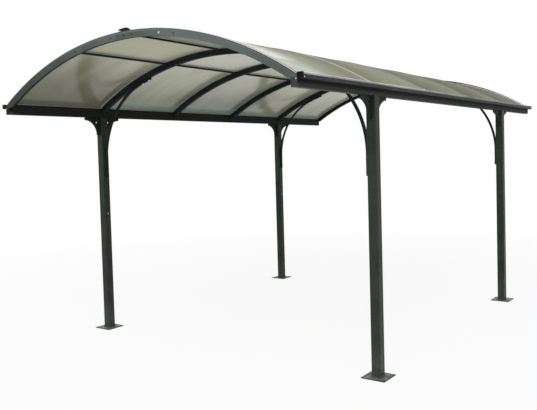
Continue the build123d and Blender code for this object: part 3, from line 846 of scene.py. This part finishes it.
def bar_screws():
    """Washered screws along the joint bars."""
    for number, place in enumerate(RIB_PLACES, start=1):
        bm = bmesh.new()
        for angle in BAR_SCREW_ANGLES:
            point = on_arc(SHEET_CENTRE_Z, BAR_TOP_RADIUS, angle, place)
            add_screw(bm, point, (sin(angle), 0, cos(angle)), BAR_SCREW_RADIUS, BAR_WASHER_RADIUS)
        new_piece(f"bar_screws_{number}", bm, "zinc")


def arch_screw_point(x, end):
    """A place on an end arch's face at a given X."""
    radius = EDGE_RADIUS - ARCH_SCREW_BELOW_TOP
    return Vector((x, end * ARCH_FACE_Y, EDGE_CENTRE_Z + sqrt(radius**2 - x**2)))


def arch_screws():
    """Painted screws on the faces of the end arches, and bright ones: one there, and those of the end
    blocks and the gutters' end caps."""
    for name, end in NAMED_ENDS:
        outward = (0, end, 0)
        bm = bmesh.new()
        for x in PAINTED_SCREW_X:
            add_screw(bm, arch_screw_point(-end * x, end), outward, ARCH_SCREW_RADIUS)
        new_piece(f"arch_screws_{name}", bm, "frame")
        bm = bmesh.new()
        add_screw(bm, arch_screw_point(-end * LONE_SCREW_X, end), outward, LONE_SCREW_RADIUS)
        for side in SIDES:
            on_block = Vector((side * BLOCK_SCREW_X, end * ARCH_FACE_Y, BLOCK_SCREW_Z))
            on_cap = Vector((side * GUTTER_HIGH.x, end * GUTTER_SCREW_Y, CAP_SCREW_Z))
            add_screw(bm, on_block, outward, SMALL_SCREW_RADIUS)
            add_screw(bm, on_cap, (side, 0, 0), SMALL_SCREW_RADIUS)
        new_piece(f"arch_bright_screws_{name}", bm, "zinc")


bar_screws()
arch_screws()

# Fasteners, plugs, brackets and welds on the frame
BOLT_RADIUS = 0.0055
POST_BOLT_Z = 1.117
BRACE_SIZE = 0.020
BRACE_FOOT_LIFTS = (0.03, 0.12)
BRACE_TIP_STEPS = (0.03, 0.11)
GUSSET_BOLT_RADIUS = 0.005
GUSSET_BOLT_INSET = 0.0125
GUSSET_BOLT_REACH = GUSSET_LEG - 0.018
POST_WALL = 0.0025
POST_CORNER = 0.009
PLUG_FIT = 0.0004
PLUG_FORM = ((0.0, -0.012), (0.0, -0.0022), (0.0012, -0.0008), (0.004, -0.0004))
BRACKET_LEG = 0.034
BRACKET_THICKNESS = 0.003
BRACKET_LOW = EAVE_Z + 0.044
BRACKET_HIGH = EAVE_Z + 0.078
BRACKET_SCREW_RADIUS = 0.0045
BRACKET_WALL_SCREW = BRACKET_LEG * 0.6
BRACKET_RIB_SCREW = BRACKET_LEG * 0.62
BRACKET_SOFT_EDGE = 0.0008
WELD_SIZE = 0.008
WELD_FORM = ((0.0, 0.0), (1.0, 0.0), (0.62, 0.5), (0.0, 1.0))


def post_bolts():
    """A zinc bolt through each post at half height, and two painted ones at the foot of each brace."""
    for corner, end, side in CORNERS:
        inward = (-side, 0, 0)
        face_x = side * (POST_X - POST_SIZE / 2)
        y = end * POST_Y
        bm = bmesh.new()
        add_hex_bolt(bm, Vector((face_x, y, POST_BOLT_Z)), inward, BOLT_RADIUS)
        new_piece(f"post_bolt_{corner}", bm, "dull_zinc")
        bm = bmesh.new()
        for lift in BRACE_FOOT_LIFTS:
            point = Vector((face_x - side * BRACE_SIZE, y, BRACE_LOW.z + lift))
            add_hex_bolt(bm, point, inward, BOLT_RADIUS)
        new_piece(f"brace_foot_bolts_{corner}", bm, "brace")


def brace_bolts():
    """Bolts up through the upper ends of the braces into the ribs."""
    radius = RIB_UNDER_RADIUS - BRACE_SIZE
    tip = asin(BRACE_LOW.x / radius)
    for corner, end, side in CORNERS:
        bm = bmesh.new()
        for step in BRACE_TIP_STEPS:
            angle = side * (tip + step / radius)
            point = on_arc(SHEET_CENTRE_Z, radius, angle, end * POST_Y)
            add_hex_bolt(bm, point, (-sin(angle), 0, -cos(angle)), BOLT_RADIUS)
        new_piece(f"brace_bolts_{corner}", bm, "zinc")


def gusset_bolts():
    """Pairs of cross bolts near the tips of the gussets, with heads on both sides."""
    places = ((GUSSET_BOLT_REACH, GUSSET_BOLT_INSET), (GUSSET_BOLT_INSET, GUSSET_BOLT_REACH))
    for corner, end, side in CORNERS:
        bm = bmesh.new()
        for along in SIDES:
            for out, down in places:
                y = end * POST_Y + along * (POST_SIZE / 2 + out)
                for turn in SIDES:
                    point = Vector((side * POST_X + turn * GUSSET_HALF, y, EAVE_Z - down))
                    add_screw(bm, point, (turn, 0, 0), GUSSET_BOLT_RADIUS)
        new_piece(f"gusset_bolts_{corner}", bm, "gusset")


def post_ring(end, side, half, corner, z):
    """A ring of points round a post's axis: a square with round corners."""
    return [Vector((side * POST_X + x, end * POST_Y + y, z)) for x, y in rounded_square(half, corner)]


def post_caps():
    """Black plugs in the tops of the posts, on both sides of the beam."""
    half = POST_SIZE / 2 - POST_WALL - PLUG_FIT
    for corner, end, side in CORNERS:
        bm = bmesh.new()
        add_rings(bm, [post_ring(end, side, half - shrink, POST_CORNER - POST_WALL, EAVE_Z + lift)
                       for shrink, lift in PLUG_FORM])
        new_piece(f"post_cap_{corner}", bm, "black", sharp_degrees=60.0)


def rib_brackets():
    """Angle brackets with screws at both faces of each rib's feet."""
    middle = (BRACKET_LOW + BRACKET_HIGH) / 2
    for number, place in enumerate(RIB_PLACES, start=1):
        bm, screws = bmesh.new(), bmesh.new()
        for side in SIDES:
            wall = side * BEAM_INNER_X
            wall_skin, leg_end = wall - side * BRACKET_THICKNESS, wall - side * BRACKET_LEG
            for face in SIDES:
                y = place + face * RIB_HALF
                rib_skin, wing_end = y + face * BRACKET_THICKNESS, y + face * BRACKET_LEG
                outline = [(wall, y), (wall, wing_end), (wall_skin, wing_end), (wall_skin, rib_skin),
                           (leg_end, rib_skin), (leg_end, y)]
                add_rings(bm, [[Vector((a, b, z)) for a, b in outline]
                               for z in (BRACKET_LOW, BRACKET_HIGH)])
                on_wall = Vector((wall_skin, y + face * BRACKET_WALL_SCREW, middle))
                on_rib = Vector((wall - side * BRACKET_RIB_SCREW, rib_skin, middle))
                add_screw(screws, on_wall, (-side, 0, 0), BRACKET_SCREW_RADIUS)
                add_screw(screws, on_rib, (0, face, 0), BRACKET_SCREW_RADIUS)
        soften(new_piece(f"rib_brackets_{number}", bm, "frame"), BRACKET_SOFT_EDGE)
        new_piece(f"rib_bracket_screws_{number}", screws, "frame")


def post_welds():
    """Fillet welds round the feet of the posts."""
    for corner, end, side in CORNERS:
        bm = bmesh.new()
        rings = []
        for out, up in WELD_FORM:
            grow = WELD_SIZE * out
            rings.append(post_ring(end, side, POST_SIZE / 2 + grow, POST_CORNER + grow,
                                   PLATE_TOP + WELD_SIZE * up))
        add_rings(bm, rings, closed_ends=False)
        new_piece(f"post_weld_{corner}", bm, "post", sharp_degrees=70.0)


post_bolts()
brace_bolts()
gusset_bolts()
post_caps()
rib_brackets()
post_welds()


# Stage

def white_for_seen_rays(tree):
    """1 for rays from the camera, and for those that mirror or pass through a surface; 0 for the rest."""
    rays = tree.nodes.new("ShaderNodeLightPath").outputs
    seen = calc(tree, "MAXIMUM", rays["Is Camera Ray"], rays["Is Glossy Ray"])
    return calc(tree, "MAXIMUM", seen, rays["Is Transmission Ray"])


def show_blend(tree, share, first, second, output_name):
    """Joins a blend of two shaders to a tree's output."""
    blend = tree.nodes.new("ShaderNodeMixShader")
    for socket, source in zip(blend.inputs, (share, first.outputs[0], second.outputs[0])):
        tree.links.new(source, socket)
    tree.links.new(blend.outputs[0], tree.nodes[output_name].inputs["Surface"])


def make_world():
    """White where it is seen, and an even soft light elsewhere."""
    world = bpy.data.worlds.new("studio")
    bpy.context.scene.world = world
    world.use_nodes = True
    tree = world.node_tree
    plain = tree.nodes["Background"]
    plain.inputs["Color"].default_value = WHITE
    plain.inputs["Strength"].default_value = AMBIENT
    white = node(tree, "ShaderNodeBackground", Color=WHITE, Strength=1.0)
    show_blend(tree, white_for_seen_rays(tree), plain, white, "World Output")


def make_floor():
    """A pale floor that keeps a soft shadow and fades to white far from the carport."""
    bm = bmesh.new()
    bmesh.ops.create_circle(bm, cap_ends=True, radius=FLOOR_RADIUS, segments=FLOOR_SEGMENTS)
    mesh = bpy.data.meshes.new("floor")
    bm.to_mesh(mesh)
    bm.free()
    floor = bpy.data.objects.new("floor", mesh)
    bpy.context.scene.collection.objects.link(floor)
    made, tree, shader, coords = material("floor_white")
    tree.nodes.remove(shader)
    distance = tree.nodes.new("ShaderNodeVectorMath")
    distance.operation = "LENGTH"
    tree.links.new(coords["Object"], distance.inputs[0])
    fade = ranged(tree, distance.outputs["Value"], FLOOR_FADE_START, FLOOR_FADE_END,
                  FLOOR_WHITE_NEAR, FLOOR_WHITE_FAR)
    share = times(tree, white_for_seen_rays(tree), fade)
    matt = node(tree, "ShaderNodeBsdfDiffuse", Color=FLOOR_COLOUR)
    white = node(tree, "ShaderNodeEmission", Color=WHITE, Strength=1.0)
    show_blend(tree, share, matt, white, "Material Output")
    mesh.materials.append(made)


def make_lamp(name, place, size, watts):
    """A square soft lamp aimed at the middle of the carport."""
    lamp = bpy.data.lights.new(name, "AREA")
    lamp.size = size
    lamp.energy = watts
    holder = bpy.data.objects.new(name, lamp)
    holder.location = place
    holder.rotation_euler = (Vector(LAMP_AIM) - Vector(place)).to_track_quat("-Z", "Y").to_euler()
    bpy.context.scene.collection.objects.link(holder)


def make_camera():
    """The camera at the photograph's place, with its lens and framing."""
    data = bpy.data.cameras.new("camera")
    data.sensor_fit = "HORIZONTAL"
    data.sensor_width = SENSOR_WIDTH
    data.lens = FOCAL_PIXELS / IMAGE_WIDTH * SENSOR_WIDTH
    data.shift_x, data.shift_y = CAMERA_SHIFT
    holder = bpy.data.objects.new("camera", data)
    holder.location = CAMERA_PLACE
    holder.rotation_euler = [radians(a) for a in CAMERA_TURN]
    bpy.context.scene.collection.objects.link(holder)
    bpy.context.scene.camera = holder


make_world()
make_floor()
make_lamp("key", KEY_PLACE, KEY_SIZE, KEY_WATTS)
make_lamp("fill", FILL_PLACE, FILL_SIZE, FILL_WATTS)
make_camera()
bpy.context.scene.view_settings.view_transform = "Standard"
